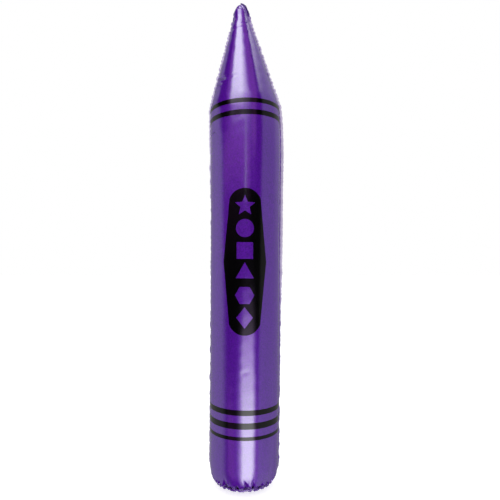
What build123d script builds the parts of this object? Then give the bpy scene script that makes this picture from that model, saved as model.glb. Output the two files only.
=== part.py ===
from build123d import *

import os
from math import acos, cos, degrees, radians, sin

# Inflatable vinyl crayon toy, standing on its base, in millimetres.
# The origin is on the floor below the toy's axis, +Z is up and the printed front faces -Y.
# Two mirror-alike film panels meet in a flat weld at +X and -X, and a round film closes the base.
# The air valve is in the back panel, shown pushed in and plugged, as it is in use.

os.makedirs("parts", exist_ok=True)

# ---- Driving dimensions ----

body_radius = 79.0
film = 0.3
weld_margin = 7.0

base_height = 56.0
rim_radius = 72.0
rim_height = 18.0
contact_radius = 28.0

shoulder_start = 843.7
shoulder_bend = 115.0
cone_angle = 16.5
tip_radius = 9.8

ink = 0.1
print_gap = 0.02
seam_gap = 0.35

# Each printed band's lower and upper edge, from the top of the toy down
band_edges = [(849, 859), (823, 834), (178.6, 190.2), (149.3, 162.7), (125.2, 133.1)]

badge_centre = 508.0
badge_half_height = 158.0
badge_side_half_height = 135.5
badge_widest = 49.0
badge_end_width = 34.5
symbol_pitch = 48.0
symbol_radius = 23.0
star_inner_ratio = 0.45
disc_ratio = 0.85
square_ratio = 1.55
hexagon_ratio = 0.92
diamond_ratio = 0.78

valve_height = 92.0
flange_radius = 15.0
flange_opening = 10.0
flange_thickness = 0.8
skirt_wall = 0.5
skirt_rise = 0.1
stem_radius = 5.0
stem_bore = 3.5
stem_top = 78.3
stem_length = 13.5
collar_radius = 5.9
collar_height = 70.0
collar_thickness = 1.2
plug_radius = 4.6
plug_thickness = 1.4
shank_length = 5.0
shank_chamfer = 0.5
running_gap = 0.05
tab_reach = 7.2
tab_width = 3.4
strap_width = 2.2
strap_thickness = 0.6
strap_turn = 0.85
strap_reach = 7.2
flap_radius = 4.4
flap_thickness = 0.5
flap_gap = 0.1
flap_hinge = 4.1

# ---- Values worked out from the driving dimensions ----

# The panel's lower end curves in from the straight side to the rim.
rim_drop = base_height - rim_height
rim_inset = body_radius - rim_radius
rim_bend = (rim_drop**2 + rim_inset**2) / (2 * rim_inset)
rim_centre = (body_radius - rim_bend, base_height)

# The shoulder arc turns the straight side into the cone, and a small arc closes the tip.
shoulder_centre = (body_radius - shoulder_bend, shoulder_start)
lean = radians(cone_angle)
shoulder_reach = shoulder_centre[0] * cos(lean) + shoulder_centre[1] * sin(lean) + shoulder_bend
tip_centre = (0, (shoulder_reach - tip_radius) / sin(lean))

# The base film sits on a flat patch and rises in an arc to the rim.
base_rise = rim_radius - contact_radius
dome_bend = (base_rise**2 + rim_height**2) / (2 * rim_height)
dome_centre = (contact_radius, dome_bend)

print_inside = body_radius + print_gap
print_outside = print_inside + ink
stem_end = stem_top - stem_length
plug_seat = stem_top + running_gap
shank_radius = stem_bore - running_gap

# A side's plane holds the body's axis and faces outwards, with its own +Y up the toy.
sides = {"front": Plane.XZ, "back": Plane.XZ.rotated((0, 0, 180))}
half_turn_axis = Axis((0, 0, 0), (0, 0, -1))
valve_axis = Axis((0, 0, valve_height), (0, 1, 0))
valve_face = Plane(origin=(0, 0, valve_height), x_dir=(-1, 0, 0), z_dir=(0, 1, 0))
# The valve's section has its own X along the valve's axis, outwards, and its own Y up the toy.
valve_section = Plane(origin=(0, 0, valve_height), x_dir=(0, 1, 0), z_dir=(1, 0, 0))


def outline(offset):
    """Draw the body's half outline from rim to tip, offset outwards, and return its two ends."""
    rim_turn = degrees(acos((rim_radius + offset - rim_centre[0]) / (rim_bend + offset)))
    rim_arc = CenterArc(rim_centre, rim_bend + offset, -rim_turn, rim_turn)
    shoulder_arc = CenterArc(shoulder_centre, shoulder_bend + offset, 0, cone_angle)
    tip_arc = CenterArc(tip_centre, tip_radius + offset, cone_angle, 90 - cone_angle)
    Line(rim_arc @ 1, shoulder_arc @ 0)
    Line(shoulder_arc @ 1, tip_arc @ 0)
    return rim_arc @ 0, tip_arc @ 1


def chord(arc_length):
    """Half width, seen square on, of a print that covers this arc length from the centre line."""
    return body_radius * sin(arc_length / body_radius)


def save(piece, name):
    """Label the piece with its node's name and write its STEP file."""
    piece.part.label = name
    export_step(piece.part, f"parts/{name}.step")


# ---- Film panels ----


def film_panel(side):
    """One long panel: half of the body's skin, its two flat weld margins and its rim margin."""
    with BuildPart() as panel:
        with BuildSketch(sides[side]):
            with BuildLine():
                outer_rim, outer_tip = outline(0)
                inner_rim, inner_tip = outline(-film)
                Line(outer_tip, inner_tip)
                Polyline(
                    outer_rim,
                    (rim_radius, rim_height - weld_margin),
                    (rim_radius - film, rim_height - weld_margin),
                    inner_rim,
                )
            make_face()
        revolve(axis=half_turn_axis, revolution_arc=180)
        with BuildSketch(sides[side]):
            with BuildLine():
                outer_rim, outer_tip = outline(weld_margin)
                inner_rim, inner_tip = outline(-film)
                Line(outer_rim, inner_rim)
                Line(outer_tip, inner_tip)
            make_face()
            mirror(about=Plane.YZ)
        extrude(amount=film)
    return panel


front_panel = film_panel("front")
save(front_panel, "front_panel")

back_panel = film_panel("back")
with BuildPart() as back_panel_with_hole:
    add(back_panel.part)
    with BuildSketch(valve_face):
        Circle(flange_opening)
    extrude(amount=2 * body_radius, mode=Mode.SUBTRACT)
save(back_panel_with_hole, "back_panel")

with BuildPart() as base_disc:
    margin_inside = rim_radius - 2 * film - print_gap
    margin_outside = margin_inside + film
    with BuildSketch(Plane.XZ):
        with BuildLine():
            under_turn = degrees(acos((margin_inside - contact_radius) / dome_bend))
            upper_turn = degrees(acos((margin_outside - contact_radius) / (dome_bend - film)))
            under = CenterArc(dome_centre, dome_bend, -90, 90 - under_turn)
            upper = CenterArc(dome_centre, dome_bend - film, -90, 90 - upper_turn)
            Polyline(under @ 0, (0, 0), (0, film), upper @ 0)
            Polyline(
                under @ 1,
                (margin_inside, rim_height - weld_margin),
                (margin_outside, rim_height - weld_margin),
                upper @ 1,
            )
        make_face()
    revolve(axis=Axis.Z)
save(base_disc, "base_disc")

# ---- Printed layers ----


def printed_band(side, low, high):
    """A band of ink round one panel, from weld to weld."""
    with BuildPart() as band:
        with BuildSketch(sides[side]):
            with BuildLine():
                inner_rim, inner_tip = outline(print_gap)
                outer_rim, outer_tip = outline(print_gap + ink)
                Line(inner_rim, outer_rim)
                Line(inner_tip, outer_tip)
            make_face()
            with Locations((body_radius, (low + high) / 2)):
                Rectangle(body_radius, high - low, mode=Mode.INTERSECT)
        revolve(axis=half_turn_axis, revolution_arc=180)
        split(bisect_by=sides[side].offset(seam_gap), keep=Keep.TOP)
    return band


def star_points(radius):
    """Corners of a five-pointed star, from its top point round."""
    corners = []
    for corner in range(10):
        reach = radius if corner % 2 == 0 else radius * star_inner_ratio
        turn = radians(90 + 36 * corner)
        corners.append((reach * cos(turn), reach * sin(turn)))
    return corners


def badge_symbols():
    """Cut the badge's row of plain symbols, from the top down."""
    first = badge_centre + 2.5 * symbol_pitch
    with Locations((0, first)):
        Polygon(*star_points(symbol_radius), align=Align.NONE, mode=Mode.SUBTRACT)
    with Locations((0, first - symbol_pitch)):
        Circle(disc_ratio * symbol_radius, mode=Mode.SUBTRACT)
    with Locations((0, first - 2 * symbol_pitch)):
        Rectangle(square_ratio * symbol_radius, square_ratio * symbol_radius, mode=Mode.SUBTRACT)
    with Locations((0, first - 3 * symbol_pitch)):
        RegularPolygon(symbol_radius, 3, rotation=90, mode=Mode.SUBTRACT)
    with Locations((0, first - 4 * symbol_pitch)):
        RegularPolygon(hexagon_ratio * symbol_radius, 6, mode=Mode.SUBTRACT)
    with Locations((0, first - 5 * symbol_pitch)):
        half_width = diamond_ratio * symbol_radius
        diamond = [(half_width, 0), (0, symbol_radius), (-half_width, 0), (0, -symbol_radius)]
        Polygon(*diamond, align=Align.NONE, mode=Mode.SUBTRACT)


def printed_badge(side):
    """A long six-sided badge with round ends, wrapped on the body, with the symbols left clear."""
    widest = chord(badge_widest)
    end = chord(badge_end_width)
    side_top = badge_centre + badge_side_half_height
    side_bottom = badge_centre - badge_side_half_height
    with BuildPart() as badge:
        with BuildSketch(Plane.XY.offset(badge_centre - badge_half_height)):
            Circle(print_outside)
            Circle(print_inside, mode=Mode.SUBTRACT)
        extrude(amount=2 * badge_half_height)
        with BuildSketch(sides[side]):
            with BuildLine():
                Polyline((-end, side_bottom), (-widest, badge_centre), (-end, side_top))
                Polyline((end, side_bottom), (widest, badge_centre), (end, side_top))
                top = (0, badge_centre + badge_half_height)
                bottom = (0, badge_centre - badge_half_height)
                ThreePointArc((-end, side_top), top, (end, side_top))
                ThreePointArc((-end, side_bottom), bottom, (end, side_bottom))
            make_face()
            badge_symbols()
        extrude(amount=2 * body_radius, mode=Mode.INTERSECT)
    return badge


for side in sides:
    for number, (low, high) in enumerate(band_edges, start=1):
        save(printed_band(side, low, high), f"{side}_band_{number}")
    save(printed_badge(side), f"{side}_badge")

# ---- Air valve ----

# The flange is a soft ring welded on the film, so it follows the round body.
with BuildPart() as valve_flange:
    with BuildSketch(Plane.XY.offset(valve_height - 2 * flange_radius)):
        Circle(print_inside + flange_thickness)
        Circle(print_inside, mode=Mode.SUBTRACT)
    extrude(amount=4 * flange_radius)
    with BuildSketch(valve_face):
        Circle(flange_radius)
        Circle(flange_opening, mode=Mode.SUBTRACT)
    extrude(amount=2 * body_radius, mode=Mode.INTERSECT)
save(valve_flange, "valve_flange")

# The skirt is the thin funnel between flange and stem. It turns inside out as the stem pops out.
with BuildPart() as valve_skirt:
    mouth = body_radius + skirt_rise
    mouth_radius = flange_opening - running_gap
    throat = collar_height + collar_thickness / 2
    throat_radius = collar_radius + running_gap
    with BuildSketch(valve_section):
        with BuildLine():
            Polyline(
                (mouth, mouth_radius - skirt_wall),
                (mouth, mouth_radius),
                (throat, throat_radius + skirt_wall),
                (throat, throat_radius),
                close=True,
            )
        make_face()
    revolve(axis=valve_axis)
save(valve_skirt, "valve_skirt")

with BuildPart() as valve_stem:
    with BuildSketch(valve_face.offset(stem_end)):
        Circle(stem_radius)
    extrude(amount=stem_length)
    with BuildSketch(valve_face.offset(collar_height)):
        Circle(collar_radius)
    extrude(amount=collar_thickness)
    with BuildSketch(valve_face.offset(stem_end)):
        Circle(stem_bore)
    extrude(amount=stem_length, mode=Mode.SUBTRACT)
save(valve_stem, "valve_stem")

# The plug is a cap with a shank in the stem's bore and a tab to pull it by.
with BuildPart() as valve_plug:
    with BuildSketch(valve_face.offset(plug_seat)):
        Circle(plug_radius)
        with Locations((0, -tab_reach / 2)):
            SlotCenterToCenter(tab_reach - tab_width, tab_width, rotation=90)
    extrude(amount=plug_thickness)
    with BuildSketch(valve_face.offset(plug_seat)):
        Circle(shank_radius)
    extrude(amount=-shank_length)
    chamfer(valve_plug.faces().sort_by(Axis.Y)[0].edges(), length=shank_chamfer)
save(valve_plug, "valve_plug")

# The strap is a hairpin of soft plastic from the cap's edge to the stem's side.
with BuildPart() as valve_strap:
    cap_leg = plug_seat + plug_thickness / 2
    turn_centre = cap_leg - strap_turn
    stem_leg = turn_centre - strap_turn
    with BuildSketch(valve_section):
        with BuildLine() as route:
            Line((cap_leg, plug_radius + running_gap), (cap_leg, strap_reach))
            CenterArc((turn_centre, strap_reach), strap_turn, 0, 180)
            Line((stem_leg, strap_reach), (stem_leg, stem_radius + running_gap))
        trace(route.line, line_width=strap_thickness)
    extrude(amount=strap_width / 2, both=True)
save(valve_strap, "valve_strap")

# The flap hangs from its top edge over the stem's inner end, and air coming in swings it open.
with BuildPart() as valve_flap:
    with BuildSketch(valve_face.offset(stem_end - flap_gap - flap_thickness)):
        Circle(flap_radius)
        with Locations((0, flap_hinge)):
            Rectangle(2 * flap_radius, flap_radius, align=(Align.CENTER, Align.MIN), mode=Mode.SUBTRACT)
    extrude(amount=flap_thickness)
save(valve_flap, "valve_flap")

hinge_line = (0, stem_end - flap_gap - flap_thickness / 2, valve_height + flap_hinge)
print("height of the film", round(tip_centre[1] + tip_radius, 2), "mm")
print("flap hinge at", hinge_line)
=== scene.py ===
import math

import bmesh
import bpy
import numpy as np
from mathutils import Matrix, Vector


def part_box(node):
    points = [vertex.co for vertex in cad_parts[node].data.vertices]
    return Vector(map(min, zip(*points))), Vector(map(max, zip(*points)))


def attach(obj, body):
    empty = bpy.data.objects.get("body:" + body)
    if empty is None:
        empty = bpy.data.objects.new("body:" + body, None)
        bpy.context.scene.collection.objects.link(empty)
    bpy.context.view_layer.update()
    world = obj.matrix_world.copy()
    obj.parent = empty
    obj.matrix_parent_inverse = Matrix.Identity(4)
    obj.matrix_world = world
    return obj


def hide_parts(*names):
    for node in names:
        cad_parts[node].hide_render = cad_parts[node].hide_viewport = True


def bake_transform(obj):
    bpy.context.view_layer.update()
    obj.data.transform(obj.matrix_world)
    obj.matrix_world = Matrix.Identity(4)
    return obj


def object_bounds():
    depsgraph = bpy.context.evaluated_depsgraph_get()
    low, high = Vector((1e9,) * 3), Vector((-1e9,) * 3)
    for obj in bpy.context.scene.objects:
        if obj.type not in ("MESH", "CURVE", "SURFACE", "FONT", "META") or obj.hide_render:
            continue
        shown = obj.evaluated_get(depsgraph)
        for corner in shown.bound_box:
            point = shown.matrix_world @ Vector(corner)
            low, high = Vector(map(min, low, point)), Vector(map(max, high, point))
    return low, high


# An inflatable vinyl crayon standing on a pale floor. Everything is in metres, in the CAD frame:
# +Z up, the printed front faces -Y, and the welded side seams are at +X and -X.

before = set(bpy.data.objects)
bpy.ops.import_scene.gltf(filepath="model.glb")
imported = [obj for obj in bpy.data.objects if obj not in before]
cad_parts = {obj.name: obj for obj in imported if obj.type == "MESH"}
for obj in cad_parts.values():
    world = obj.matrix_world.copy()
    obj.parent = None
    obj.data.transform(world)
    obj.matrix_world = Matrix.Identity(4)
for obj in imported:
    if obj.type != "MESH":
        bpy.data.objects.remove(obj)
cad_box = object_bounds()
mm = 0.001
rng = np.random.default_rng(44)

# ---- Sizes read from the frame, and the body's driving sizes ----

panel_low, panel_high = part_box("front_panel")
flange_low, flange_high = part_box("valve_flange")
stem_low, stem_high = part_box("valve_stem")
plug_low, plug_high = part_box("valve_plug")
flap_low, flap_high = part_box("valve_flap")

film = 0.3 * mm
body_radius = 79 * mm
weld_margin = panel_high.x - body_radius
rim_radius = 72 * mm
rim_height = panel_low.z + weld_margin
contact_radius = 28 * mm
base_height = 56 * mm
shoulder_start = 843.7 * mm
shoulder_bend = 115 * mm
cone_angle = math.radians(16.5)
tip_radius = 9.8 * mm

rim_drop = base_height - rim_height
rim_inset = body_radius - rim_radius
rim_bend = (rim_drop**2 + rim_inset**2) / (2 * rim_inset)
rim_turn = math.asin(rim_drop / rim_bend)
shoulder_x = body_radius - shoulder_bend
reach = shoulder_x * math.cos(cone_angle) + shoulder_start * math.sin(cone_angle) + shoulder_bend
tip_z = (reach - tip_radius) / math.sin(cone_angle)

# Lengths of the outline's five stretches, from the rim up: rim arc, side, shoulder, cone, tip
cone_foot_z = shoulder_start + shoulder_bend * math.sin(cone_angle)
cone_top_z = tip_z + tip_radius * math.sin(cone_angle)
stretches = [
    rim_bend * rim_turn,
    shoulder_start - base_height,
    shoulder_bend * cone_angle,
    (cone_top_z - cone_foot_z) / math.cos(cone_angle),
    tip_radius * (math.pi / 2 - cone_angle),
]
stations = np.concatenate([[0], np.cumsum(stretches)])
outline_length = stations[-1]

valve_height = (flange_low.z + flange_high.z) / 2


def outline(run):
    """Radius, height and the normal's rise angle at a distance along the outline from the rim."""
    run = np.clip(np.asarray(run, float), 0, outline_length)
    rim = np.minimum(run, stations[1]) / rim_bend - rim_turn
    up = np.clip(run - stations[1], 0, stretches[1])
    bend = np.clip((run - stations[2]) / shoulder_bend, 0, cone_angle)
    slant = np.clip(run - stations[3], 0, stretches[3])
    round_off = np.clip((run - stations[4]) / tip_radius, 0, math.pi / 2 - cone_angle)
    radius = body_radius + rim_bend * (np.cos(rim) - 1) + shoulder_bend * (np.cos(bend) - 1)
    radius = radius - slant * math.sin(cone_angle)
    tip_rise = cone_angle + round_off
    radius = radius + tip_radius * (np.cos(tip_rise) - math.cos(cone_angle))
    height = base_height + rim_bend * np.sin(rim) + up + shoulder_bend * np.sin(bend)
    height = height + slant * math.cos(cone_angle)
    height = height + tip_radius * (np.sin(tip_rise) - math.sin(cone_angle))
    rise = rim + bend + round_off
    return np.maximum(radius, 0), height, rise


def run_at(height):
    """Distance along the outline at which it reaches a height."""
    table = np.linspace(0, outline_length, 4000)
    return np.interp(height, outline(table)[1], table)


# ---- The body's slight swell and bow, as an inflated toy stands ----

swell_height = 0.775
swell_spread = 0.085
swell_size = 1.0 * mm
knob_height = 1.087
knob_spread = 0.0115
knob_size = 2.8 * mm
bow_heights = [0.0, 0.13, 0.25, 0.45, 0.66, 0.80, 0.90, 1.00, 1.06, 1.11]
bow_offsets = [0.0, 0.4, 1.5, 2.5, 3.4, 3.6, 0.6, -3.2, -6.2, -8.0]


def smooth_curve(places, values, at, level=True):
    """Smooth curve through a table, level at each entry or else sloping towards its neighbours."""
    places, values = np.array(places), np.array(values, float)
    slopes = np.zeros(len(values)) if level else np.gradient(values, places)
    at = np.clip(at, places[0], places[-1])
    cell = np.clip(np.searchsorted(places, at, side="right") - 1, 0, len(places) - 2)
    step = places[cell + 1] - places[cell]
    t = (at - places[cell]) / step
    smooth = t * t * (3 - 2 * t)
    start = t * (1 - t) ** 2 * step * slopes[cell]
    end = t * t * (1 - t) * step * slopes[cell + 1]
    return values[cell] * (1 - smooth) + values[cell + 1] * smooth + start - end


def bow(height):
    """Sideways offset of the body's axis at a height."""
    return smooth_curve(bow_heights, np.array(bow_offsets) * mm, height, level=False)


def bend_body(points):
    """Move points from the straight body to the bowed one. The sections turn with the axis."""
    x, y, z = points[..., 0], points[..., 1], points[..., 2]
    small = 1 * mm
    slope = (bow(z + small) - bow(z - small)) / (2 * small)
    return np.stack([x + bow(z), y, z - x * slope], axis=-1)


# ---- Puckers ----


def uneven_places(start, end, gap, spread=0.35):
    """Places along a weld where the film pinches, about a gap apart and unevenly spaced."""
    places = [start - gap]
    while places[-1] < end + gap:
        places.append(places[-1] + gap * (1 + spread * rng.uniform(-1, 1)))
    return np.array(places)


def phase_along(places, along):
    """Number of pinches passed, with its fraction, and the local gap between pinches."""
    phase = np.interp(along, places, np.arange(len(places)))
    gap = np.interp(along, (places[1:] + places[:-1]) / 2, np.diff(places))
    return phase, gap


def pillows(phase, sharpness):
    """Rounded bulges between sharp pinches, from 0 at a pinch to 1 half way."""
    t = phase - np.floor(phase)
    return 1 - np.abs(2 * t - 1) ** sharpness


def smooth_noise(along, across, scale_along, scale_across, seed, waves=9):
    """Gentle undulation from a few sine waves of random direction, about -1 to 1."""
    local = np.random.default_rng(seed)
    total = np.zeros(np.broadcast(along, across).shape)
    for _ in range(waves):
        k_along = local.uniform(0.4, 1.4) * local.choice([-1, 1]) * 2 * math.pi / scale_along
        k_across = local.uniform(0.0, 1.4) * 2 * math.pi / scale_across
        total += np.sin(k_along * along + k_across * across + local.uniform(0, 2 * math.pi))
    return total / math.sqrt(waves)


# Creases beside the welds: ranges of length, depth and half width in mm, and the largest slant
crease_sizes = {
    "cone": ((5, 17), (0.5, 1.3), (1.1, 2.0), 0.5),
    "side": ((3, 12), (0.0, 0.5), (1.4, 2.6), 0.6),
    "rim": ((10, 26), (2.6, 6.4), (2.2, 4.4), 0.45),
    "rim_short": ((8, 17), (1.2, 3.2), (1.2, 2.4), 0.5),
}


def crease_set(kind, places):
    """One random crease for each pinch: its place, length, depth, half width and slant."""
    *ranges, tilt = crease_sizes[kind]
    count = len(places)
    sizes = [rng.uniform(low * mm, high * mm, count) for low, high in ranges]
    return list(zip(places, *sizes, rng.uniform(-tilt, tilt, count)))


def hump(value, middle, spread):
    """A smooth hump, 1 at its middle and fading to 0 on both sides."""
    return np.exp(-(((value - middle) / spread) ** 2))


def crease_depth(creases, along, away):
    """Depth of a set of creases at points given along the weld and away from it."""
    depth = np.zeros(along.shape)
    for place, length, deep, width, tilt in creases:
        near = (away < length) & (np.abs(along - place) < 4 * width + abs(tilt) * length)
        if not near.any():
            continue
        fade = 1 - away[near] / length
        half = width * (0.3 + 0.7 * fade)
        off = np.abs(along[near] - place - tilt * away[near]) / half
        groove = np.exp(-(off**1.4)) - 0.28 * hump(off, 1.9, 0.8)
        depth[near] += deep * fade**1.3 * groove
    return depth


def ramp(value, low, high):
    """Smooth step from 0 at low to 1 at high."""
    t = np.clip((value - low) / (high - low), 0, 1)
    return t * t * (3 - 2 * t)


cone_run = run_at(0.845)
seam_gap = 10 * mm
side_gap = 15 * mm
rim_gap = 12.5 * mm
rim_length = 2 * math.pi * rim_radius

seams = {}
for seam_name in ("left", "right"):
    seam = {
        "side": uneven_places(0.03, cone_run - 0.02, side_gap),
        "cone": uneven_places(cone_run - 0.015, outline_length - 1.2 * tip_radius, seam_gap),
        "fold": uneven_places(cone_run, outline_length - 6 * tip_radius, 2.6 * seam_gap),
    }
    for kind in ("cone", "side"):
        for side in ("front", "back"):
            seam[f"{side}_{kind}"] = crease_set(kind, seam[kind])
    seams[seam_name] = seam

# Pinches round the rim, by arc length from the left seam past the front and on round the back
rim_places = uneven_places(0, rim_length, rim_gap, spread=0.5)
rim_creases = crease_set("rim", rim_places)
rim_fine_places = uneven_places(0, rim_length, 0.5 * rim_gap, spread=0.5)
rim_short = crease_set("rim_short", rim_fine_places)

# How far the puckers reach from their welds, and the film's tuck above the rim
fold_reach = 24 * mm
side_reach = 6 * mm
wave_reach = 5 * mm
rim_reach = 9 * mm
rim_fine_reach = 3.5 * mm
tuck_reach = 8 * mm
tuck_depth = 2.0 * mm
# How far the welds wave out of line, as shares of the gap between pinches
cone_wave_share = 0.065
side_wave_share = 0.035
rim_wave_share = 0.06


def rim_arc(side, angle):
    """Arc length round the rim, from the left seam past the front, at an angle on one side."""
    around = (angle + math.pi / 2) * rim_radius
    return around if side == "front" else rim_length - around


def seam_wave(seam, run):
    """Sideways wave of the weld line, out of the seam's plane, and how strong the puckers are."""
    cone_phase, cone_local = phase_along(seam["cone"], run)
    side_phase, side_local = phase_along(seam["side"], run)
    strength = ramp(run, cone_run - 0.03, cone_run + 0.03)
    strength = strength * (1 - 0.4 * ramp(run, outline_length - 0.06, outline_length))
    cone_wave = cone_wave_share * cone_local * np.sin(math.pi * cone_phase)
    side_wave = side_wave_share * side_local * np.sin(math.pi * side_phase)
    side_wave = side_wave * (0.5 + 0.5 * np.sin(run * 17 + seam["side"][3] * 900))
    return strength * cone_wave + (1 - strength) * side_wave, strength


def pucker_rows(places, along, close, size, level, sharpness):
    """Depth of the bulges between pinches. size is a share of the local gap, close fades them."""
    phase, gap = phase_along(places, along)
    return size * gap * close * (level - pillows(phase, sharpness))


def seam_puckers(side, seam, run, away):
    """Depth of the puckers beside one side seam. away is the distance from the weld."""
    strength = seam_wave(seam, run)[1]
    close = np.exp(-away / (0.62 * phase_along(seam["cone"], run)[1]))
    fold_run = run + (0.3 * away if side == "front" else 0)
    cone_rows = pucker_rows(seam["cone"], run, close, 0.105, 0.8, 2.5)
    folds = pucker_rows(seam["fold"], fold_run, hump(away, 0, fold_reach), 0.035, 0.6, 2.2)
    side_rows = pucker_rows(seam["side"], run, np.exp(-away / side_reach), 0.030, 0.7, 2.4)
    depth = strength * (cone_rows + folds) + (1 - strength) * side_rows
    depth = depth + strength * crease_depth(seam[f"{side}_cone"], run, away)
    return depth + (1 - strength) * crease_depth(seam[f"{side}_side"], run, away)


def rim_puckers(around, up):
    """Depth of the puckers above the rim. around is the arc length round it, up the height."""
    rows = pucker_rows(rim_places, around, np.exp(-up / rim_reach), 0.16, 0.75, 2.6)
    fine = pucker_rows(rim_fine_places, around, np.exp(-up / rim_fine_reach), 0.06, 0.7, 2.4)
    tuck = tuck_depth * np.clip(1 - up / tuck_reach, 0, 1) ** 2
    long_creases = crease_depth(rim_creases, around, up)
    return rows + fine + tuck + long_creases + crease_depth(rim_short, around, up)


# Larger folds: start and end as (degrees from the front, height), then depth and half width in mm
large_folds = {
    "front": [
        ((-88, 0.924), (-36, 0.914), 6.0, 2.2),
        ((-88, 0.910), (-46, 0.904), 5.2, 2.0),
        ((-88, 0.896), (-60, 0.893), 3.4, 1.8),
        ((-50, 0.914), (-10, 0.916), 0.5, 3.4),
        ((88, 0.925), (62, 0.931), 3.2, 2.3),
        ((88, 0.872), (70, 0.876), 1.4, 2.0),
        ((-60, 1.040), (60, 1.047), 0.35, 3.2),
        ((-20, 1.050), (66, 1.056), 0.25, 2.6),
        ((84, 1.074), (40, 1.070), 0.8, 2.0),
        ((-60, 1.092), (50, 1.086), 1.3, 1.5),
        ((-10, 1.100), (64, 1.080), 1.4, 1.5),
        ((-88, 0.862), (-66, 0.859), 3.2, 1.6),
        ((-88, 0.830), (-68, 0.828), 3.4, 1.6),
        ((-88, 0.801), (-52, 0.796), 3.6, 1.7),
        ((-4, 0.268), (9, 0.274), 0.30, 4.0),
    ],
    "back": [
        ((-88, 0.930), (-50, 0.905), 2.0, 3.2),
        ((86, 0.978), (48, 0.955), 1.6, 2.8),
        ((88, 0.812), (60, 0.832), 0.9, 2.6),
        ((-20, 0.955), (50, 0.948), 0.5, 5.0),
    ],
}


def fold_depth(side, angle, run, radius):
    """Depth of the larger folds on one side's film."""
    depth = np.zeros(np.broadcast(angle, run).shape)
    for start, end, deep, width in large_folds[side]:
        ax, bx = math.radians(start[0]), math.radians(end[0])
        ay, by = run_at(start[1]), run_at(end[1])
        middle = float(outline((ay + by) / 2)[0])
        line = np.array([(bx - ax) * middle, by - ay])
        length = np.hypot(*line)
        dx = (angle - ax) * np.maximum(radius, 1 * mm)
        dy = run - ay
        t = (dx * line[0] + dy * line[1]) / length**2
        off = np.abs(dx * line[1] - dy * line[0]) / length / (width * mm)
        taper = np.sin(math.pi * np.clip(0.12 + 0.88 * t, 0, 1)) ** 0.8 * (t > -0.14)
        groove = np.exp(-(off**1.5)) - 0.3 * hump(off, 2.0, 0.9)
        depth += deep * mm * taper * groove
    return depth


# ---- Film meshes ----

body_middle = (cad_box[0] + cad_box[1]) / 2


def graded(stops):
    """Values from the first stop to the last. Each stop is a value and the step used from it on."""
    values = []
    for (start, step), (end, _) in zip(stops[:-1], stops[1:]):
        count = max(1, round((end - start) / step))
        values.append(np.linspace(start, end, count, endpoint=False))
    return np.concatenate(values + [[stops[-1][0]]])


film_rows = graded([
    (0.0, 1.0 * mm),
    (40 * mm, 2.0 * mm),
    (run_at(0.20), 3.0 * mm),
    (run_at(0.79), 1.5 * mm),
    (stations[4], 0.9 * mm),
    (outline_length, 0),
])
quarter = body_radius * math.pi / 2
half_columns = graded([(0.0, 2.0 * mm), (quarter - 14 * mm, 0.85 * mm), (quarter - film, 0)]) / body_radius
film_columns = np.concatenate([-half_columns[:0:-1], half_columns])
facing = {"front": -1, "back": 1}
film_seeds = {"front": 5, "back": 6}
# The film's gentle unevenness: its depth, and its lengths along and round the body
unevenness = [(0.16 * mm, 0.16, 0.20), (0.05 * mm, 0.035, 0.05)]
flat_round_valve = 30 * mm


def body_surface(side, angle, run):
    """One side's film before puckers and bow: its points, outward normals and radius."""
    radius, height, rise = outline(run)
    radius = radius + swell_size * hump(height, swell_height, swell_spread)
    knob = hump(height, knob_height, knob_spread) * ramp(outline_length - run, 0, 4 * mm)
    radius = radius + knob_size * knob
    level = 0 * angle
    normal = [np.sin(angle) * np.cos(rise), facing[side] * np.cos(angle) * np.cos(rise), np.sin(rise) + level]
    points = [radius * np.sin(angle), facing[side] * radius * np.cos(angle), height + level]
    return np.stack(points, axis=-1), np.stack(normal, axis=-1), radius


def film_surface(side, angle, run):
    """Points of one side's puckered film, before the body is bowed, and the smooth body's normals."""
    points, normal, radius = body_surface(side, angle, run)
    away = {"left": radius * (angle + math.pi / 2), "right": radius * (math.pi / 2 - angle)}
    depth = sum(seam_puckers(side, seams[name], run, away[name]) for name in seams)
    depth += fold_depth(side, angle, run, radius)
    depth += rim_puckers(rim_arc(side, angle), run)
    calm = 1 - hump(points[..., 2], valve_height, flat_round_valve) * (side == "back")
    for number, (size, along, across) in enumerate(unevenness):
        seed = film_seeds[side] + 10 * number
        depth += size * calm * smooth_noise(run, angle * body_radius, along, across, seed)
    depth *= ramp(outline_length - run, 0, 8 * mm) * 0.8 + 0.2
    points = points - depth[..., None] * normal
    waves = (seam_wave(seams[name], run)[0] * np.exp(-away[name] / wave_reach) for name in seams)
    points[..., 1] += sum(waves)
    return points, normal


# How far each side margin leans from square out, in degrees: positive to the front. By height.
lean_heights = [0.0, 0.20, 0.36, 0.50, 0.60, 0.75, 0.84, 0.92, 1.02, 1.07, 1.085, 1.11]
lean_angles = {
    "left": [-72, -78, -80, -82, -80, -58, -48, -24, -26, -50, -84, -84],
    "right": [-66, -66, -58, -24, -6, 8, -10, -22, -26, 0, 58, 66],
}
margin_heights = [0.0, 0.80, 0.88, 1.06, 1.11]
margin_widths = {"left": [7.0, 7.0, 6.0, 4.8, 3.0], "right": [7.0, 7.4, 6.0, 4.8, 5.4]}
margin_seeds = {"left": 44, "right": 45}
# The margin's columns: shares of its width, then its outer line and the lip behind that
margin_shares = (0.12, 0.4, 0.7, 1.0)
margin_columns = len(margin_shares) + 2
margin_foot_share = 0.12
lean_unevenness = 0.09
width_unevenness = 0.35 * mm
edge_overhang = 0.12 * mm
lip_setback = 0.10 * mm
# How pale the welded margin is drawn, from the film's own colour at 0 to milky at 1, by height. The milky
# weld is real; its rise and fall with height is painted reflection, palest where the margin catches the
# lamps, about 0.5 to 1.05 m up
pale_and_sheen_heights = [0.0, 0.04, 0.30, 0.52, 0.80, 1.05, 1.075, 1.11]
pale_and_sheen_shares = [0.15, 0.20, 0.25, 0.90, 1.0, 0.85, 0.12, 0.42]
rim_pale = 0.22
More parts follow.
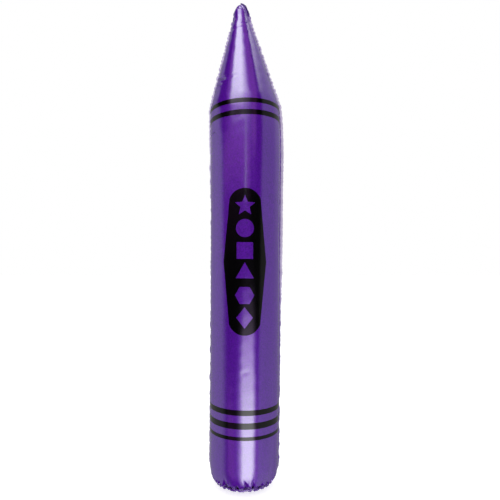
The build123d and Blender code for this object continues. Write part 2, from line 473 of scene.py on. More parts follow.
# The rim's margin: shares of its length down, where it starts outside the rim and how far it turns in
skirt_shares = (0.06, 0.35, 0.7, 1.0)
skirt_flare = 0.3 * mm
skirt_tuck = 4.6 * mm


def margin_strip(side, which, edge):
    """The welded margin beyond one edge of the film, as extra columns from the weld outwards."""
    _, height, rise = outline(film_rows)
    sign = -1 if which == "left" else 1
    seed = margin_seeds[which]
    wave = seam_wave(seams[which], film_rows)[0]
    lean = np.radians(smooth_curve(lean_heights, lean_angles[which], height))
    lean = lean + lean_unevenness * smooth_noise(film_rows, 0, 0.055, 1, seed)
    width = smooth_curve(margin_heights, margin_widths[which], height) * mm
    width = width * (margin_foot_share + (1 - margin_foot_share) * ramp(film_rows, 1 * mm, 9 * mm))
    width = width + width_unevenness * smooth_noise(film_rows, 0, 0.011, 1, seed + 2)
    layer = -facing[side] * 0.5 * film
    start = np.column_stack([edge[:, 0], wave, edge[:, 2]])
    columns = []
    for share in margin_shares:
        curl = lean * (0.75 + 0.25 * share)
        along = [sign * np.cos(curl) * np.cos(rise), -np.sin(curl), np.cos(curl) * np.sin(rise)]
        along = np.stack(along, axis=-1)
        front = np.stack([-sign * np.sin(curl), -np.cos(curl), 0 * curl], axis=-1)
        ripple = wave * (1 + 0.8 * share**1.3 - np.cos(curl))
        columns.append(start + along * (share * width)[:, None] - front * (ripple - layer)[:, None])
    last_out = columns[-1] - columns[-2]
    last_out /= np.maximum(np.linalg.norm(last_out, axis=1, keepdims=True), 1e-9)
    rim_line = columns[-1] + last_out * edge_overhang - front * layer
    hidden_lip = rim_line - last_out * lip_setback
    return columns + [rim_line, hidden_lip]


def new_piece(mesh):
    """Put a mesh in the scene, as a piece with the mesh's name."""
    piece = bpy.data.objects.new(mesh.name, mesh)
    bpy.context.scene.collection.objects.link(piece)
    return piece


def mesh_piece(name, vertices, faces):
    """A piece from its vertices and faces."""
    mesh = bpy.data.meshes.new(name)
    mesh.from_pydata(vertices, [], faces)
    return new_piece(mesh)


def edited_piece(name, bm):
    """End a mesh edit with a new piece."""
    mesh = bpy.data.meshes.new(name)
    bm.to_mesh(mesh)
    bm.free()
    return new_piece(mesh)


def grid_quads(rows, columns):
    """The indices of a grid of points, as a grid, and its faces."""
    index = np.arange(rows * columns).reshape(rows, columns)
    quads = np.stack([index[:-1, :-1], index[:-1, 1:], index[1:, 1:], index[1:, :-1]], axis=-1)
    return index, quads.reshape(-1, 4)


def shade_smooth(piece, sharp_angle=None):
    """Smooth shading, with edges sharper than the angle kept crisp."""
    piece.data.polygons.foreach_set("use_smooth", [True] * len(piece.data.polygons))
    if sharp_angle is not None:
        piece.data.set_sharp_from_angle(angle=math.radians(sharp_angle))
    piece.data.update()
    return piece


def tidy_mesh(piece, merge=1e-6, outward_from=None):
    """Merge coincident points and make the faces point outwards."""
    bm = bmesh.new()
    bm.from_mesh(piece.data)
    bmesh.ops.remove_doubles(bm, verts=bm.verts, dist=merge)
    bmesh.ops.dissolve_degenerate(bm, dist=merge, edges=bm.edges)
    bmesh.ops.recalc_face_normals(bm, faces=bm.faces)
    if outward_from is not None:
        bm.faces.ensure_lookup_table()
        total = sum(f.normal.dot(f.calc_center_median() - outward_from) * f.calc_area() for f in bm.faces)
        if total < 0:
            bmesh.ops.reverse_faces(bm, faces=bm.faces)
    bm.to_mesh(piece.data)
    bm.free()
    return piece


run_grid, angle_grid = np.meshgrid(film_rows, film_columns, indexing="ij")


def rim_skirt(side, grid):
    """The weld margin below the rim: rows that hang down from the film's lowest row."""
    edge = grid[0]
    length = np.maximum(np.hypot(edge[:, 0], edge[:, 1]), 1e-6)
    out = edge[:, :2] / length[:, None]
    around = rim_arc(side, np.arctan2(edge[:, 0], facing[side] * edge[:, 1]))
    phase, local = phase_along(rim_places, around)
    wave = rim_wave_share * local * np.sin(math.pi * phase)
    rows = []
    for share in skirt_shares:
        flare = skirt_flare - skirt_tuck * share + wave * share
        spread = out * (length + flare)[:, None]
        drop = weld_margin * share * (0.92 + 0.08 * np.cos(math.pi * phase))
        rows.append(np.column_stack([spread, edge[:, 2] - drop]))
    inner = rows[-1].copy()
    inner[:, :2] -= out * 2 * film
    return [inner, *rows[::-1]]


def with_margins(side):
    """One side's film grid, with the columns of its two side margins added."""
    grid = film_surface(side, angle_grid, run_grid)[0]
    left = margin_strip(side, "left", grid[:, 0])
    right = margin_strip(side, "right", grid[:, -1])
    return np.concatenate([np.stack(left[::-1], axis=1), grid, np.stack(right, axis=1)], axis=1)


wide_grids = {side: with_margins(side) for side in facing}
film_hole = 11.5 * mm


def film_piece(side):
    """One side's film with its side margins and its rim margin, as one mesh."""
    full = wide_grids[side]
    skirt = np.stack(rim_skirt(side, full), axis=0)
    whole = bend_body(np.concatenate([skirt, full], axis=0))
    weld = np.zeros(whole.shape[:2])
    # Milky weld colour by height, with painted reflection where it is palest
    pale = smooth_curve(pale_and_sheen_heights, pale_and_sheen_shares, whole[:, :1, 2])
    weld[:, :margin_columns] = pale
    weld[:, -margin_columns:] = pale
    # Painted shade: the margin's column next to the film keeps the film's deep purple, drawing a dark crease
    # line along each seam
    weld[:, [margin_columns - 1, -margin_columns]] = 0
    weld[: len(skirt)] = rim_pale
    quads = grid_quads(*whole.shape[:2])[1]
    piece = mesh_piece(f"{side}_film", whole.reshape(-1, 3).tolist(), quads.tolist())
    amount = piece.data.attributes.new("weld", "FLOAT", "POINT")
    amount.data.foreach_set("value", weld.astype(np.float32).ravel())
    if side == "back":
        cut_valve_hole(piece)
    return shade_smooth(tidy_mesh(piece, outward_from=body_middle), sharp_angle=50)


def cut_valve_hole(piece):
    """Open the film under the valve's flange."""
    bm = bmesh.new()
    bm.from_mesh(piece.data)
    middles = [(face, face.calc_center_median()) for face in bm.faces]
    opened = [face for face, at in middles if math.hypot(at.x, at.z - valve_height) < film_hole]
    bmesh.ops.delete(bm, geom=opened, context="FACES")
    bm.to_mesh(piece.data)
    bm.free()


def base_piece():
    """The round base film: domed, flat where it rests, and puckered at its rim."""
    around = np.linspace(0, rim_length, 360, endpoint=False)
    angle = around / rim_radius - math.pi / 2
    base_bend = ((rim_radius - contact_radius) ** 2 + rim_height**2) / (2 * rim_height)
    stops = [(0.0, 7 * mm), (contact_radius, 2 * mm), (0.75 * rim_radius, 0.9 * mm), (rim_radius - 3 * mm, 0)]
    rings = []
    for radius in graded(stops)[1:]:
        beyond = max(0, radius - contact_radius)
        height = base_bend - math.sqrt(base_bend**2 - beyond**2)
        depth = rim_puckers(around, np.full(around.shape, max(rim_radius - radius, 0) + 1 * mm))
        lift = 0.6 * depth * float(ramp(radius, contact_radius + 6 * mm, rim_radius))
        rings.append(np.stack([radius * np.sin(angle), -radius * np.cos(angle), height + lift], axis=-1))
    last = rings[-1]
    margin = last * np.array([0.97, 0.97, 1])
    margin[:, 2] -= 0.8 * weld_margin
    rings += [last * 0.35 + margin * 0.65, margin]
    index = 1 + np.arange(len(rings) * len(around)).reshape(len(rings), len(around))
    after = np.roll(index, -1, axis=1)
    fan = np.stack([0 * index[0], after[0], index[0]], axis=-1)
    quads = np.stack([index[:-1], after[:-1], after[1:], index[1:]], axis=-1).reshape(-1, 4)
    vertices = [[0, 0, 0]] + np.concatenate(rings).tolist()
    return shade_smooth(tidy_mesh(mesh_piece("base_film", vertices, fan.tolist() + quads.tolist())))


# ---- Printed layers ----

print_lift = 0.13 * mm
print_sink = 0.02 * mm


def grid_normals(grid, side):
    """Outward unit normals of a grid of points."""
    down = np.gradient(grid, axis=0)
    across = np.gradient(grid, axis=1)
    normal = np.cross(across, down)
    normal /= np.maximum(np.linalg.norm(normal, axis=-1, keepdims=True), 1e-12)
    return normal * (1 if side == "front" else -1)


def band_piece(side, number):
    """A printed band across one side's film up to its two welds, as a thin closed layer."""
    low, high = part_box(f"{side}_band_{number}")
    start, end = run_at(low.z), run_at(high.z)
    cuts = np.linspace(start, end, max(5, round((end - start) / (0.9 * mm))))
    wide = wide_grids[side]
    row = np.clip(np.searchsorted(film_rows, cuts) - 1, 0, len(film_rows) - 2)
    share = ((cuts - film_rows[row]) / (film_rows[row + 1] - film_rows[row]))[:, None, None]
    grid = wide[row] * (1 - share) + wide[row + 1] * share
    normal = grid_normals(grid, side)
    printed = slice(margin_columns - 1, 1 - margin_columns)
    top = bend_body(grid + normal * print_lift)[:, printed]
    bottom = bend_body(grid - normal * print_sink)[:, printed]
    index, quads = grid_quads(*top.shape[:2])
    count = index.size
    loop = [*index[0, :], *index[1:, -1], *index[-1, -2::-1], *index[-2:0:-1, 0]]
    walls = [(a, b, b + count, a + count) for a, b in zip(loop, loop[1:] + loop[:1])]
    faces = quads.tolist() + (quads[:, ::-1] + count).tolist() + walls
    vertices = np.concatenate([top.reshape(-1, 3), bottom.reshape(-1, 3)]).tolist()
    piece = mesh_piece(f"{side}_print_{number}", vertices, faces)
    return shade_smooth(tidy_mesh(piece, merge=1e-7), sharp_angle=50)


def regular_points(centre, radius, count, start=90.0, inner=None):
    """Corners of a regular polygon, or of a star when an inner radius is given."""
    steps = count if inner is None else 2 * count
    corners = []
    for step in range(steps):
        size = radius if inner is None or step % 2 == 0 else inner
        turn = math.radians(start + 360 * step / steps)
        corners.append((centre[0] + size * math.cos(turn), centre[1] + size * math.sin(turn)))
    return corners


def badge_outline(low, high):
    """The badge's flat outline: six-sided with round ends. Its widths are lengths round the body."""
    middle = (low.z + high.z) / 2
    half_height = (high.z - low.z) / 2
    widest = body_radius * math.asin(min(1, high.x / body_radius))
    end_width = 34.5 * mm
    straight = 135.5 * mm
    cap = half_height - straight
    cap_radius = (end_width**2 + cap**2) / (2 * cap)
    sweep = math.asin(end_width / cap_radius)
    points = []
    for sign in (1, -1):
        centre = middle + sign * (half_height - cap_radius)
        for share in np.linspace(1, -1, 25):
            turn = share * sweep
            points.append((sign * cap_radius * math.sin(turn), centre + sign * cap_radius * math.cos(turn)))
        points.append((-sign * widest, middle))
    return points, middle


def badge_symbols(middle):
    """The outlines of the badge's column of plain symbols, from the top down."""
    pitch = 48 * mm
    radius = 23 * mm
    star, disc, square, triangle, hexagon, diamond = (middle + (2.5 - step) * pitch for step in range(6))
    half_side = 0.775 * radius
    half_width = 0.78 * radius
    return [
        regular_points((0, star), radius, 5, inner=0.45 * radius),
        regular_points((0, disc), 0.85 * radius, 72),
        [(x * half_side, y * half_side + square) for x, y in ((-1, -1), (1, -1), (1, 1), (-1, 1))],
        regular_points((0, triangle), radius, 3),
        regular_points((0, hexagon), 0.92 * radius, 6, start=0),
        [(half_width, diamond), (0, diamond + radius), (-half_width, diamond), (0, diamond - radius)],
    ]


def badge_piece(side):
    """The printed badge, cut flat with its symbols left clear and then wrapped on the film."""
    low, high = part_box(f"{side}_badge")
    points, middle = badge_outline(low, high)
    curve = bpy.data.curves.new(f"{side}_badge_flat", "CURVE")
    curve.dimensions = "2D"
    curve.fill_mode = "BOTH"
    for shape in (points, *badge_symbols(middle)):
        spline = curve.splines.new("POLY")
        spline.points.add(len(shape) - 1)
        for slot, (x, y) in zip(spline.points, shape):
            slot.co = (x, y, 0, 1)
        spline.use_cyclic_u = True
    flat = bpy.data.objects.new(curve.name, curve)
    bpy.context.scene.collection.objects.link(flat)
    mesh = bpy.data.meshes.new_from_object(flat.evaluated_get(bpy.context.evaluated_depsgraph_get()))
    bpy.data.objects.remove(flat)
    bm = bmesh.new()
    bm.from_mesh(mesh)
    bmesh.ops.remove_doubles(bm, verts=bm.verts, dist=1e-6)
    cuts = [((x, 0, 0), (1, 0, 0)) for x in np.arange(-48, 49, 3) * mm]
    cuts += [((0, y, 0), (0, 1, 0)) for y in np.arange(low.z + 3 * mm, high.z, 6 * mm)]
    for place, across in cuts:
        geometry = bm.verts[:] + bm.edges[:] + bm.faces[:]
        bmesh.ops.bisect_plane(bm, geom=geometry, plane_co=place, plane_no=across, dist=1e-6)
    for face in bm.faces:
        if face.normal.z < 0:
            face.normal_flip()
    shell = bmesh.ops.extrude_face_region(bm, geom=bm.faces[:])
    lifted = {v for v in shell["geom"] if isinstance(v, bmesh.types.BMVert)}
    order = list(bm.verts)
    flat_points = np.array([v.co[:2] for v in order])
    lift = np.array([print_lift if v in lifted else -print_sink for v in order])
    angle = -facing[side] * flat_points[:, 0] / body_radius
    placed, normal = film_surface(side, angle, run_at(flat_points[:, 1]))
    placed = bend_body(placed + normal * lift[:, None])
    for vertex, place in zip(order, placed):
        vertex.co = place
    bmesh.ops.recalc_face_normals(bm, faces=bm.faces)
    return shade_smooth(edited_piece(f"{side}_print_badge", bm), sharp_angle=50)


# ---- Air valve ----


def lathe(name, profile, segments=72, closed=True, on_body=False):
    """Turn a profile of (radius, y) points round the valve's axis. On the body, y is the lift off it."""
    count = len(profile)
    vertices = []
    for turn in np.linspace(0, 2 * math.pi, segments, endpoint=False):
        for radius, y in profile:
            x = radius * math.cos(turn)
            level = math.sqrt(body_radius**2 - x * x) if on_body else 0
            vertices.append((x, level + y, valve_height + radius * math.sin(turn)))
    faces = []
    for segment in range(segments):
        here = segment * count
        after = (segment + 1) % segments * count
        for point in range(count if closed else count - 1):
            onward = (point + 1) % count
            faces.append((here + point, here + onward, after + onward, after + point))
    return tidy_mesh(mesh_piece(name, vertices, faces), merge=1e-7)


def cut_sheet(name, corners, low_y, high_y):
    """A flat sheet between two y levels, from the (x, z) corners of its outline about the valve's axis."""
    bm = bmesh.new()
    face = bm.faces.new([bm.verts.new((x, low_y, valve_height + z)) for x, z in corners])
    grown = bmesh.ops.extrude_face_region(bm, geom=[face])
    for item in grown["geom"]:
        if isinstance(item, bmesh.types.BMVert):
            item.co.y = high_y
    bmesh.ops.recalc_face_normals(bm, faces=bm.faces)
    return edited_piece(name, bm)


def rounded(piece, width, segments=3):
    """Round a piece's sharp edges with a bevel."""
    bevel = piece.modifiers.new("rounding", "BEVEL")
    bevel.width = width
    bevel.segments = segments
    bevel.limit_method = "ANGLE"
    bevel.angle_limit = math.radians(35)
    return shade_smooth(piece, sharp_angle=60)


def flange_piece():
    """The soft ring on the back film, with a thin outer lip and two raised weld rings."""
    inner, outer, clear = 10 * mm, 15 * mm, 0.01 * mm
    share = np.linspace(0, 1, 41)
    radii = inner + (outer - inner) * share
    thick = (flange_high.y - body_radius) * (0.35 + 0.65 * ramp(1 - share, 0.0, 0.16))
    for ring in (0.45, 0.68):
        thick += 0.22 * mm * hump(share, ring, 0.035)
    thick += 0.35 * mm * hump(share, 0, 0.12)
    profile = [*zip(radii, thick + clear), *((radius, clear) for radius in radii[::-4])]
    return shade_smooth(lathe("flange_ring", profile, segments=120, on_body=True), sharp_angle=60)


def skirt_piece():
    """The thin funnel from the flange's mouth to the stem's collar, with soft ribs."""
    low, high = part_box("valve_skirt")
    mouth_radius, throat_radius, wall, wall_offset = 9.9 * mm, 6.35 * mm, 0.5 * mm, 0.1 * mm
    ribs, rib_size = 5, 0.12 * mm
    t = np.linspace(0, 1, 33)
    radii = mouth_radius + (throat_radius - mouth_radius) * t + rib_size * np.cos(ribs * 2 * math.pi * t)
    levels = high.y + (low.y - high.y) * t
    profile = [*zip(radii, levels), *zip(radii[::-1] - wall, levels[::-1] + wall_offset)]
    return shade_smooth(lathe("valve_funnel", profile, segments=96), sharp_angle=60)


def stem_piece():
    """The short stem: a tube with a round lip at its mouth and a collar for the funnel."""
    inner, outer, collar = 3.5 * mm, 5.0 * mm, 5.9 * mm
    bottom, top = stem_low.y, stem_high.y
    collar_low, collar_high = 70.0 * mm, 71.2 * mm
    neck = outer - 0.25 * mm
    profile = [
        (inner, bottom), (outer, bottom), (outer, collar_low), (collar, collar_low), (collar, collar_high),
        (outer, collar_high), (neck, collar_high + 1.2 * mm), (neck, top - 1.6 * mm),
        (outer, top - 1.2 * mm), (outer, top), (inner, top),
    ]
    return rounded(lathe("stem_tube", profile), 0.18 * mm)


def plug_piece():
    """The plug: a domed cap with a rim, a barbed shank and a pull tab."""
    cap, shank = 4.6 * mm, 3.44 * mm
    seat = stem_high.y + 0.05 * mm
    end, top = plug_low.y, plug_high.y
    profile = [
        (0, end), (shank - 0.7 * mm, end), (shank - 0.1 * mm, end + 0.7 * mm), (shank, end + 1.2 * mm),
        (shank - 0.2 * mm, end + 1.9 * mm), (shank - 0.2 * mm, seat - 0.8 * mm), (shank, seat - 0.4 * mm),
        (shank, seat), (cap, seat), (cap, top - 0.35 * mm), (cap - 0.5 * mm, top),
        (cap - 1.1 * mm, top), (cap - 1.5 * mm, top - 0.3 * mm), (0, top - 0.2 * mm),
    ]
    piece = rounded(lathe("plug_cap", profile, closed=False), 0.12 * mm)
    half_width, half_thick, root, reach = 1.6 * mm, 0.45 * mm, 3.2 * mm, 7.15 * mm
    turns = np.linspace(math.pi, 2 * math.pi, 17)
    centre = half_width - reach
    tip = [(half_width * math.cos(turn), centre + half_width * math.sin(turn)) for turn in turns]
    corners = [(-half_width, -root), *tip, (half_width, -root)]
    level = top - 0.75 * mm
    tab = cut_sheet("plug_tab", corners, level - half_thick, level + half_thick)
    return piece, rounded(tab, 0.2 * mm)


def strap_piece():
    """The hairpin strap from the cap's edge to the stem's side."""
    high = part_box("valve_strap")[1]
    half_thick, turn_radius = 0.28 * mm, 0.85 * mm
    cap_level = high.y - 0.3 * mm
    centre = cap_level - turn_radius
    reach = 7.2 * mm
    stem_level = centre - turn_radius
    turns = np.radians(np.linspace(90, -90, 15))
    bend = zip(reach + turn_radius * np.cos(turns), centre + turn_radius * np.sin(turns))
    path = np.array([
        (4.3 * mm, cap_level), (5.6 * mm, cap_level), *bend, (6.0 * mm, stem_level), (4.85 * mm, stem_level),
    ])
    tangent = np.gradient(path, axis=0)
    tangent /= np.linalg.norm(tangent, axis=1, keepdims=True)
    side_step = np.stack([-tangent[:, 1], tangent[:, 0]], axis=1) * half_thick
    outline_points = np.concatenate([path + side_step, (path - side_step)[::-1]])
    half_width = 1.1 * mm
    vertices, faces = [], []
    for x in (-half_width, half_width):
        vertices += [(x, y, valve_height + radial) for radial, y in outline_points]
    count = len(outline_points)
    half = len(path)
    for i in range(half - 1):
        faces.append((i, i + 1, count - 2 - i, count - 1 - i))
        faces.append((count + i, 2 * count - 1 - i, 2 * count - 2 - i, count + i + 1))
    for i in range(count):
        after = (i + 1) % count
        faces.append((i, after, count + after, count + i))
    piece = tidy_mesh(mesh_piece("strap_loop", vertices, faces), merge=1e-7)
    return rounded(piece, 0.12 * mm, segments=2), cap_level, stem_level


def flap_piece():
    """The thin flap over the stem's inner end, cut straight along its hinge."""
    radius = (flap_high.x - flap_low.x) / 2
    hinge = flap_high.z - valve_height
    turns = np.linspace(0, 2 * math.pi, 72, endpoint=False)
    corners = [(radius * math.cos(turn), min(radius * math.sin(turn), hinge)) for turn in turns]
    return rounded(cut_sheet("check_flap", corners, flap_low.y, flap_high.y), 0.12 * mm, segments=2)


# ---- Materials ----

white = (1, 1, 1)
deep_purple = (0.042, 0.0002, 0.175)
dull_purple = (0.044, 0.0003, 0.175)
middle_purple = (0.082, 0.0005, 0.300)
# The welds' milky colours; through the weld amount they also serve as painted reflection on the margins
bright_purple = (0.122, 0.0010, 0.425)
milky_purple = (0.38, 0.32, 0.50)
pale_lilac = (0.76, 0.69, 0.86)


def set_inputs(tree, made, inputs):
    """Set a node's inputs, by name or number, each to a socket, a colour or a number."""
    for key, value in inputs.items():
        if isinstance(value, bpy.types.NodeSocket):
            tree.links.new(value, made.inputs[key])
        else:
            made.inputs[key].default_value = (*value, 1) if isinstance(value, tuple) else value


def node(tree, kind, inputs=None, **properties):
    """Add a shader node with its properties and inputs."""
    made = tree.nodes.new(f"ShaderNode{kind}")
    for key, value in properties.items():
        setattr(made, key, value)
    set_inputs(tree, made, inputs or {})
    return made


def material(name):
    """A new material, its node tree, its Principled shader and a socket for places on the object."""
    made = bpy.data.materials.new(name)
    made.use_nodes = True
    tree = made.node_tree
    return made, tree, tree.nodes["Principled BSDF"], node(tree, "TexCoord").outputs["Object"]


def noise(tree, place, scale, detail, roughness=0.5):
    """Noise over the object, about 0 to 1."""
    inputs = {"Vector": place, "Scale": scale, "Detail": detail, "Roughness": roughness}
    return node(tree, "TexNoise", inputs).outputs["Fac"]


def mix_colour(tree, factor, first, second):
    """A colour mix. first and second are sockets or colours."""
    return node(tree, "Mix", {0: factor, 6: first, 7: second}, data_type="RGBA").outputs[2]


def spread_to(tree, value, low, high):
    """A value between 0 and 1 made to run from low to high."""
    return node(tree, "MapRange", {"Value": value, "To Min": low, "To Max": high}).outputs["Result"]


def fine_bumps(tree, height, strength, distance):
    """The normals of a finely grained surface."""
    inputs = {"Height": height, "Strength": strength, "Distance": distance}
    return node(tree, "Bump", inputs).outputs["Normal"]


def film_material():
    """Pearl purple vinyl: fine flakes in deep purple under a clear gloss coat, and milky at the welds, with
    painted reflection and painted seam shade in the weld amount.
    """
    made, tree, shader, place = material("pearl_purple_film")
    flakes = node(tree, "TexVoronoi", {"Vector": place, "Scale": 900.0}).outputs["Color"]
    grain = noise(tree, place, 420.0, 3.0)
    pearl = noise(tree, place, 300.0, 4.0, roughness=0.75)
    drift = noise(tree, place, 9.0, 3.0)
    # The weld amount: milky weld colour, with painted reflection by height and painted shade beside the seams
    weld = node(tree, "Attribute", attribute_name="weld").outputs["Fac"]
    speckle = mix_colour(tree, flakes, deep_purple, bright_purple)
    cloudy = mix_colour(tree, grain, speckle, middle_purple)
    dull = mix_colour(tree, drift, cloudy, dull_purple)
    bright = mix_colour(tree, drift, cloudy, bright_purple)
    contrast = node(tree, "MapRange", {"Value": pearl, "From Min": 0.38, "From Max": 0.62}).outputs["Result"]
    pale = mix_colour(tree, grain, milky_purple, pale_lilac)
    bumps = fine_bumps(tree, pearl, 0.5, 0.20 * mm)
    set_inputs(tree, shader, {
        "Base Color": mix_colour(tree, weld, mix_colour(tree, contrast, dull, bright), pale),
        "Roughness": spread_to(tree, grain, 0.46, 0.60),
        "Metallic": spread_to(tree, weld, 0.35, 0.05),
        "Specular IOR Level": 0.0,
        "Normal": bumps,
        "Coat Weight": spread_to(tree, weld, 1.0, 0.2),
        "Coat Roughness": 0.16,
        "Coat IOR": 2.3,
        "Coat Normal": bumps,
    })
    return made


def grained_material(name, scale, detail, colours, roughness, bumps, **fixed):
    """A material in which one noise mottles the colour and the gloss and grains the surface."""
    made, tree, shader, place = material(name)
    grain = noise(tree, place, scale, detail)
    set_inputs(tree, shader, {
        "Base Color": mix_colour(tree, grain, *colours),
        "Roughness": spread_to(tree, grain, *roughness),
        "Normal": fine_bumps(tree, grain, *bumps),
    })
    set_inputs(tree, shader, {socket.replace("_", " "): value for socket, value in fixed.items()})
    return made


# The film, its glossy black ink and the valve's milky clear vinyl
materials = {
    "purple_film": film_material(),
    "black_ink": grained_material(
        "black_print",
        scale=420.0,
        detail=3.0,
        colours=((0.0003, 0.0004, 0.0003), (0.0012, 0.0012, 0.0014)),
        roughness=(0.14, 0.22),
        bumps=(0.22, 0.12 * mm),
        IOR=1.5,
    ),
    "clear_soft_vinyl": grained_material(
        "milky_soft_vinyl",
        scale=350.0,
        detail=5.0,
        colours=((0.70, 0.71, 0.76), (0.86, 0.86, 0.88)),
        roughness=(0.22, 0.42),
        bumps=(0.15, 0.08 * mm),
        IOR=1.52,
        Transmission_Weight=0.35,
    ),
}


def finish_piece(piece, slot_name, *nodes, body="body"):
    """Give a piece its material, put it on its body and hide the CAD nodes that it stands in for."""
    piece.data.materials.append(materials[slot_name])
    if body is not None:
        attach(piece, body)
    if nodes:
        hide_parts(*nodes)
    return piece


for side in facing:
    finish_piece(film_piece(side), "purple_film", f"{side}_panel")
    for number in range(1, 6):
        finish_piece(band_piece(side, number), "black_ink", f"{side}_band_{number}")
    finish_piece(badge_piece(side), "black_ink", f"{side}_badge")
finish_piece(base_piece(), "purple_film", "base_disc")

finish_piece(flange_piece(), "clear_soft_vinyl", "valve_flange")
finish_piece(stem_piece(), "clear_soft_vinyl", "valve_stem", body="stem")
plug_cap, plug_tab = plug_piece()
finish_piece(plug_cap, "clear_soft_vinyl", "valve_plug", body="plug")
finish_piece(plug_tab, "clear_soft_vinyl", body="plug")
finish_piece(flap_piece(), "clear_soft_vinyl", "valve_flap", body="flap")
funnel = finish_piece(skirt_piece(), "clear_soft_vinyl", "valve_skirt", body=None)
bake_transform(funnel)
strap, cap_end, stem_end = strap_piece()
finish_piece(strap, "clear_soft_vinyl", "valve_strap", body=None)
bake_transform(strap)

# ---- Floor, lights and camera ----

floor_radius = 40
fill_tint = (0.9, 0.36, 1.0)
# The tint of a card's faint parts, and the strength at which a card's own tint takes over
edge_tint = (1.4, 0.97, 1.75)
full_strength = 2.6


def floor_material():
    """A pale studio floor that is nearly as bright as its surroundings and takes a soft shadow."""
    made, tree, shader, place = material("pale_floor")
    cloud = noise(tree, place, 2.0, 2.0)
    set_inputs(tree, shader, {
        "Base Color": mix_colour(tree, cloud, (0.62, 0.62, 0.62), (0.65, 0.65, 0.65)),
        "Roughness": 0.9,
        "Specular IOR Level": 0.0,
        "Emission Color": white,
        "Emission Strength": 0.68,
    })
    return made


def make_floor():
    """A wide pale disc under the toy. Reflections do not see it."""
    bm = bmesh.new()
    bmesh.ops.create_circle(bm, cap_ends=True, radius=floor_radius, segments=128)
    floor = edited_piece("floor", bm)
    floor.data.materials.append(floor_material())
    floor.visible_glossy = False
    floor.visible_shadow = False


def strength_ramp(tree, value, stops, peak=1.0):
    """A colour ramp that gives a strength, as a share of the peak, along a value from 0 to 1."""
    made = node(tree, "ValToRGB", {"Fac": value})
    made.color_ramp.interpolation = "EASE"
    marks = made.color_ramp.elements
    while len(marks) < len(stops):
        marks.new(0.5)
    for mark, (place, strength) in zip(marks, sorted(stops)):
        mark.position = place
        mark.color = (strength / peak, strength / peak, strength / peak, 1)
    return made.outputs["Color"]


def maths(tree, operation, first, second, **properties):
    """The result of a sum on two values."""
    return node(tree, "Math", {0: first, 1: second}, operation=operation, **properties).outputs[0]


def glow_material(name, stops, across=None, tint=white, dim_tint=None):
    """A glowing surface. stops are (place, strength) up the card, and across the same from side to side.

    dim_tint is the colour where the glow is weak, for cards whose edges fade into a tinted haze.
    """
    made = bpy.data.materials.new(name)
    made.use_nodes = True
    tree = made.node_tree
    tree.nodes.clear()
    place = node(tree, "SeparateXYZ", {0: node(tree, "UVMap").outputs["UV"]})
    peak = max(strength for _, strength in stops)
    glow = maths(tree, "MULTIPLY", strength_ramp(tree, place.outputs["Y"], stops, peak), peak)
    if across is not None:
        glow = maths(tree, "MULTIPLY", glow, strength_ramp(tree, place.outputs["X"], across))
    colour = tint
    if dim_tint is not None:
        share = maths(tree, "DIVIDE", glow, full_strength, use_clamp=True)
        colour = mix_colour(tree, share, dim_tint, tint)
    surface = node(tree, "Emission", {"Color": colour, "Strength": glow})
    node(tree, "OutputMaterial", {0: surface.outputs[0]})
    return made


def card(name, corners, stops, across=None, tint=white, dim_tint=None):
    """A flat glowing card that only reflections see. Corners run left to right, then back above."""
    piece = mesh_piece(name, corners, [(0, 1, 2, 3)])
    layer = piece.data.uv_layers.new(name="card")
    for corner, place in zip(layer.data, ((0, 0), (1, 0), (1, 1), (0, 1))):
        corner.uv = place
    piece.data.materials.append(glow_material(name, stops, across, tint, dim_tint))
    for kind in ("camera", "diffuse", "transmission", "shadow"):
        setattr(piece, f"visible_{kind}", False)


def bearing_point(bearing, distance, height):
    """A point at a bearing from the front, in degrees, round the body."""
    turn = math.radians(bearing)
    return (distance * math.sin(turn), -distance * math.cos(turn), height)


def upright_card(name, bearings, distance, heights, stops, across=None, tint=white):
    """An upright card round the body, between two bearings from the front in degrees."""
    (start, end), (bottom, top) = bearings, heights
    places = ((start, bottom), (end, bottom), (end, top), (start, top))
    corners = [bearing_point(bearing, distance, height) for bearing, height in places]
    card(name, corners, stops, across, tint)


def leaning_panel(name, edge, far, distance, across=None):
    """Cards that join up behind a leaning near edge, given as (bearing, height, strength) from below."""
    for number, (low, high) in enumerate(zip(edge[:-1], edge[1:])):
        places = ((far, low[1]), low[:2], high[:2], (far, high[1]))
        corners = [bearing_point(bearing, distance, height) for bearing, height in places]
        card(f"{name}_{number}", corners, [(0.0, low[2]), (1.0, high[2])], across)


make_floor()

# The tall panels round the toy, and the strip lamp below the camera's height
panel_distance = 1.6
panel_heights = (-4.0, 3.4)
strip_left, strip_right, strip_y, strip_join = -0.62, 0.94, -1.2, -0.2
strip_sides = [(0.0, 0.0), (0.12, 0.06), (0.22, 0.20), (0.363, 1.0), (0.77, 1.0), (0.929, 0.22), (1.0, 0.02)]

card(
    "upper_softbox",
    [(-1.08, -1.10, 1.17), (0.54, -1.60, 1.17), (0.47, -0.90, 2.48), (-0.66, 0.0, 2.48)],
    [
        (0.0, 0.4), (0.10, 0.95), (0.25, 1.9), (0.54, 2.9), (0.68, 3.9),
        (0.78, 4.0), (0.88, 2.3), (0.95, 1.0), (1.0, 0.5),
    ],
    [(0.0, 0.20), (0.10, 1.0), (0.52, 1.0), (0.72, 0.5), (0.88, 0.25), (1.0, 0.10)],
    dim_tint=edge_tint,
)
strip_foot = [(strip_left, strip_y, -1.6), (strip_right, strip_y, -1.6)]
strip_middle = [(strip_left, strip_y, strip_join), (strip_right, strip_y, strip_join)]
strip_top = [(0.76, strip_y, 0.42), (-0.38, strip_y, 0.42)]
card(
    "lower_strip",
    strip_foot + strip_middle[::-1],
    [(0.0, 0.5), (0.25, 1.9), (0.47, 3.6), (0.62, 4.05), (0.93, 3.9), (1.0, 3.3)],
    strip_sides,
    dim_tint=edge_tint,
)
card(
    "lower_strip_top",
    strip_middle + strip_top,
    [(0.0, 3.3), (0.18, 2.45), (0.32, 1.8), (0.5, 1.35), (0.62, 0.95), (1.0, 0.0)],
    strip_sides,
    dim_tint=edge_tint,
)
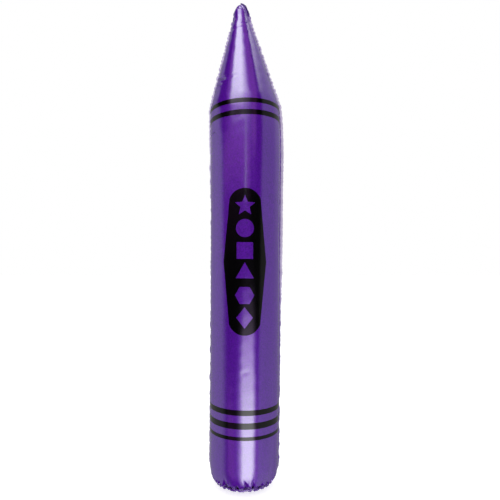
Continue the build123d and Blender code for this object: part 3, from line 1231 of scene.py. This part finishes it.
leaning_panel(
    "right_panel",
    [
        (45, -4.0, 0.02), (45, -1.9, 0.42), (45, -0.7, 0.42), (46, -0.25, 0.32), (49, 0.3, 0.27),
        (54, 1.14, 0.25), (62, 2.0, 0.42), (66, 2.4, 0.45), (70, 3.4, 2.0),
    ],
    far=112,
    distance=panel_distance,
)
upright_card(
    "right_rear_panel",
    (112, 170),
    panel_distance,
    panel_heights,
    [(0.0, 0.30), (0.6, 0.28), (0.85, 0.5), (1.0, 0.5)],
)
leaning_panel(
    "left_panel",
    [
        (-52, -4.0, 0.02), (-52, -1.9, 0.38), (-53, -0.3, 0.40), (-68, 1.14, 0.44),
        (-112, 1.9, 0.42), (-115, 2.4, 0.45), (-117, 3.4, 2.4),
    ],
    far=-120,
    distance=panel_distance,
    across=[(0.0, 1.0), (0.6, 1.0), (1.0, 0.0)],
)
upright_card("left_rear_panel", (-170, -120), panel_distance, panel_heights, [(0.0, 0.36), (1.0, 0.36)])
upright_card("thin_strip", (-0.8, 3.2), 1.0, (0.80, 1.30), [(0.0, 1.2), (0.3, 0.8), (1.0, 0.7)])
upright_card(
    "front_fill",
    (-72, 15),
    1.5,
    (0.45, 1.22),
    [(0.0, 0.0), (0.5, 0.1), (0.68, 0.47), (0.88, 0.47), (1.0, 0.1)],
    [(0.0, 0.7), (0.3, 0.8), (0.95, 1.0), (1.0, 0.9)],
    tint=fill_tint,
)
card(
    "upper_fill",
    [(-1.35, -1.35, 1.16), (1.15, -1.95, 1.16), (1.12, -0.62, 3.0), (-1.05, 0.65, 3.0)],
    [(0.0, 0.2), (0.1, 0.42), (1.0, 0.42)],
    tint=fill_tint,
)
card(
    "low_fill",
    [(-2.7, -1.9, -2.4), (2.0, -1.9, -2.4), (2.0, -1.9, -0.3), (-2.7, -1.9, -0.3)],
    [(0.0, 0.05), (0.4, 0.34), (0.75, 0.32), (1.0, 0.0)],
    tint=fill_tint,
)
upright_card("rear_strip", (172, 200), 1.4, (-1.5, 0.9), [(0.0, 0.5), (0.5, 0.5), (1.0, 0.2)])
card(
    "rear_softbox",
    [(0.8, 1.3, 1.2), (-0.5, 1.5, 1.2), (-0.4, 0.4, 2.35), (0.6, 0.2, 2.35)],
    [(0.0, 0.1), (0.3, 0.4), (0.6, 0.7), (1.0, 1.4)],
)

world = bpy.data.worlds.new("studio")
bpy.context.scene.world = world
world.use_nodes = True
set_inputs(world.node_tree, world.node_tree.nodes["Background"], {"Color": white, "Strength": 1.0})
world.cycles_visibility.glossy = False

bpy.context.scene.view_settings.view_transform = "Standard"

camera_data = bpy.data.cameras.new("camera")
camera_data.sensor_width = 36
camera_data.lens = 32.11
camera_data.shift_y = 0.0404
camera = bpy.data.objects.new("camera", camera_data)
camera.location = (0.0139, -1.031, 0.490)
camera.rotation_euler = (math.pi / 2, 0, 0)
bpy.context.scene.collection.objects.link(camera)
bpy.context.scene.camera = camera
